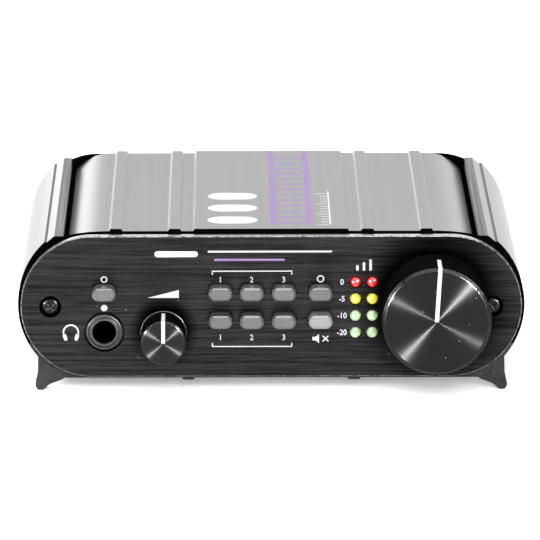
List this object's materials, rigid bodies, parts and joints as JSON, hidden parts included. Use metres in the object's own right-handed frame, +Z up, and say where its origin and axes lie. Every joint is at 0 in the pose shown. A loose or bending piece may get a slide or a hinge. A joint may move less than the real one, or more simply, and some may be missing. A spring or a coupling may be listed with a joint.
{
  "type": "studio monitor controller",
  "caption": "Desktop monitor controller: extruded case with black end bezels, brushed panel, large level knob, headphone socket and knob, push buttons and level lamps.",
  "frame": {"origin": "on the desk, under the middle of the bounding box, knobs and rear sockets included", "axes": "+X to the right seen from the front, +Y to the back, +Z up"},
  "size_m": [0.1394, 0.1356, 0.0447],
  "materials": {
    "case_aluminium": "satin anodised, extrusion lines along the case",
    "panel_black": "black anodised, brushed across, bright machined bevel",
    "bezel_plastic": "fine moulded texture",
    "black_screw": "black oxide",
    "knob_metal": "black anodised, face spun in fine circles",
    "pointer_white": "white paint in the milled line",
    "shaft_steel": "bright",
    "nut_steel": "bright",
    "button_grey": "satin",
    "switch_plastic": "moulded",
    "plunger_plastic": "moulded",
    "lamp_red": "clear tinted",
    "lamp_yellow": "clear tinted",
    "lamp_green": "pale diffused",
    "spacer_plastic": "moulded",
    "socket_plastic": "moulded",
    "contact_metal": "tinned",
    "board_green": "solder mask",
    "chip_plastic": "moulded",
    "capacitor_sleeve": "shrunk sleeve",
    "relay_plastic": "moulded",
    "sink_aluminium": "black anodised"
  },
  "bodies": {
    "case": {"case_sleeve": "case_aluminium", "front_bezel": "bezel_plastic", "rear_bezel": "bezel_plastic", "front_panel": "panel_black", "rear_panel": "panel_black", "front_panel_screws": "black_screw", "rear_panel_screws": "black_screw", "level_pot_body": "switch_plastic", "headphone_pot_body": "switch_plastic", "pot_washers": "nut_steel", "pot_nuts": "nut_steel", "switch_bodies": "switch_plastic", "red_leds": "lamp_red", "yellow_leds": "lamp_yellow", "green_leds": "lamp_green", "led_spacers": "spacer_plastic", "headphone_jack": "socket_plastic", "headphone_jack_contacts": "contact_metal", "rear_jack_nuts": "socket_plastic", "dc_inlet": "socket_plastic", "dc_inlet_pin": "contact_metal", "main_board": "board_green", "control_board": "board_green", "board_header": "chip_plastic", "amplifier_chips": "chip_plastic", "capacitors": "capacitor_sleeve", "relays": "relay_plastic", "regulator": "chip_plastic", "heat_sink": "sink_aluminium", "input_jack_1": "socket_plastic", "input_jack_2": "socket_plastic", "input_jack_3": "socket_plastic", "output_jack_1": "socket_plastic", "output_jack_2": "socket_plastic", "output_jack_3": "socket_plastic"},
    "level_knob": {"level_knob": "knob_metal", "level_knob_pointer": "pointer_white", "level_pot_shaft": "shaft_steel"},
    "headphone_knob": {"headphone_knob": "knob_metal", "headphone_knob_pointer": "pointer_white", "headphone_pot_shaft": "shaft_steel"},
    "source_button": {"source_button": "button_grey", "source_plunger": "plunger_plastic"},
    "input_1_button": {"input_1_button": "button_grey", "input_1_plunger": "plunger_plastic"},
    "input_2_button": {"input_2_button": "button_grey", "input_2_plunger": "plunger_plastic"},
    "input_3_button": {"input_3_button": "button_grey", "input_3_plunger": "plunger_plastic"},
    "mono_button": {"mono_button": "button_grey", "mono_plunger": "plunger_plastic"},
    "output_1_button": {"output_1_button": "button_grey", "output_1_plunger": "plunger_plastic"},
    "output_2_button": {"output_2_button": "button_grey", "output_2_plunger": "plunger_plastic"},
    "output_3_button": {"output_3_button": "button_grey", "output_3_plunger": "plunger_plastic"},
    "mute_button": {"mute_button": "button_grey", "mute_plunger": "plunger_plastic"}
  },
  "joints": [
    {"name": "level_knob_turn", "type": "hinge", "parent": "case", "child": "level_knob", "pos_m": [0.0448, -0.0495, 0.0242], "axis": [0, 1, 0], "range_deg": [-153, 147]},
    {"name": "headphone_knob_turn", "type": "hinge", "parent": "case", "child": "headphone_knob", "pos_m": [-0.0296, -0.0495, 0.0172], "axis": [0, 1, 0], "range_deg": [-150, 150]},
    {"name": "source_press", "type": "slide", "parent": "case", "child": "source_button", "axis": [0, 1, 0], "range_m": [0, 0.0025], "stiffness_N_per_m": 300},
    {"name": "input_1_press", "type": "slide", "parent": "case", "child": "input_1_button", "axis": [0, 1, 0], "range_m": [0, 0.0025], "stiffness_N_per_m": 300},
    {"name": "input_2_press", "type": "slide", "parent": "case", "child": "input_2_button", "axis": [0, 1, 0], "range_m": [0, 0.0025], "stiffness_N_per_m": 300},
    {"name": "input_3_press", "type": "slide", "parent": "case", "child": "input_3_button", "axis": [0, 1, 0], "range_m": [0, 0.0025], "stiffness_N_per_m": 300},
    {"name": "mono_press", "type": "slide", "parent": "case", "child": "mono_button", "axis": [0, 1, 0], "range_m": [0, 0.0025], "stiffness_N_per_m": 300},
    {"name": "output_1_press", "type": "slide", "parent": "case", "child": "output_1_button", "axis": [0, 1, 0], "range_m": [0, 0.0025], "stiffness_N_per_m": 300},
    {"name": "output_2_press", "type": "slide", "parent": "case", "child": "output_2_button", "axis": [0, 1, 0], "range_m": [0, 0.0025], "stiffness_N_per_m": 300},
    {"name": "output_3_press", "type": "slide", "parent": "case", "child": "output_3_button", "axis": [0, 1, 0], "range_m": [0, 0.0025], "stiffness_N_per_m": 300},
    {"name": "mute_press", "type": "slide", "parent": "case", "child": "mute_button", "axis": [0, 1, 0], "range_m": [0, 0.0025], "stiffness_N_per_m": 300}
  ]
}
